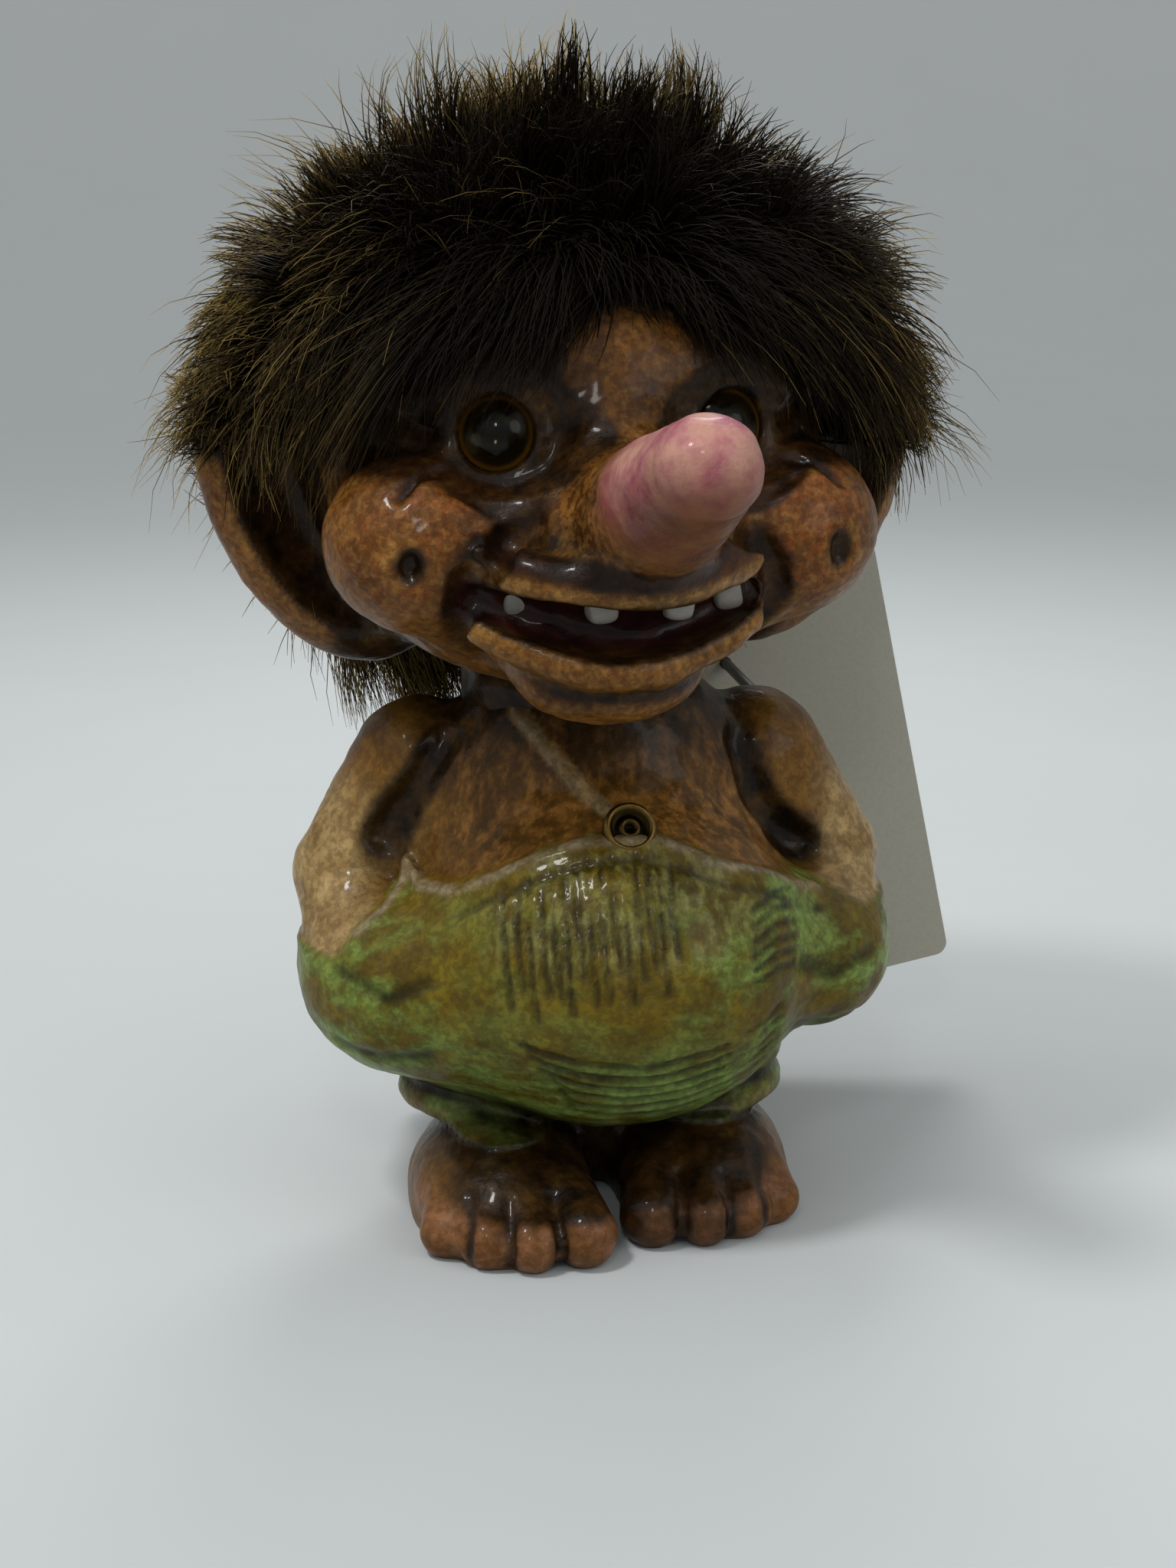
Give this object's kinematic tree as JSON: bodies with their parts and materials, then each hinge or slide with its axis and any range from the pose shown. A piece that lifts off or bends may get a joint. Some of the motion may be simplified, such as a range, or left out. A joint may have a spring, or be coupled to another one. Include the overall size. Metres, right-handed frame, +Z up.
{
  "type": "troll figure",
  "caption": "Standing folk troll figure in bib trousers with a long nose, toothy grin, doll eyes, fur wig, tufted tail and a hanging blank tag.",
  "frame": {"origin": "on the floor, under the middle of the overall box", "axes": "+Z up, -Y towards the front of the figure, +X towards the figure's left side"},
  "size_m": [0.0862, 0.0856, 0.1128],
  "materials": {
    "body_paint": "brush-painted green trousers over tan skin, dark wash, gloss varnish",
    "head_paint": "brush-painted tan skin, dark wash in the folds, gloss varnish",
    "eye_glass": "polished clear dome",
    "eye_iris": "dark olive enamel",
    "eye_black": "black gloss",
    "tooth": "off-white gloss",
    "wig_cloth": "dark woven backing",
    "fur": "long dark brown pile with golden tips",
    "button_bronze": "aged bronze paint, dark in the dish",
    "tag_card": "uncoated grey-white card",
    "pin_steel": "plain bright steel"
  },
  "bodies": {
    "figure": {"body_casting": "body_paint", "head_casting": "head_paint", "tail": "head_paint", "right_eye_lens": "eye_glass", "left_eye_lens": "eye_glass", "right_eye_disc": "eye_iris", "left_eye_disc": "eye_iris", "right_eye_stud": "eye_black", "left_eye_stud": "eye_black", "right_outer_tooth": "tooth", "right_inner_tooth": "tooth", "left_inner_tooth": "tooth", "left_outer_tooth": "tooth", "wig_backing": "wig_cloth", "fur_pile": "fur", "tail_tuft": "fur", "strap_button": "button_bronze", "tag_pin": "pin_steel"},
    "tag": {"swing_tag": "tag_card"}
  },
  "joints": [
    {"name": "tag_swing", "type": "hinge", "parent": "figure", "child": "tag", "pos_m": [0.01542, 0.04099, 0.0485], "axis": [0, 1, 0], "range_deg": [-25, 25]}
  ]
}
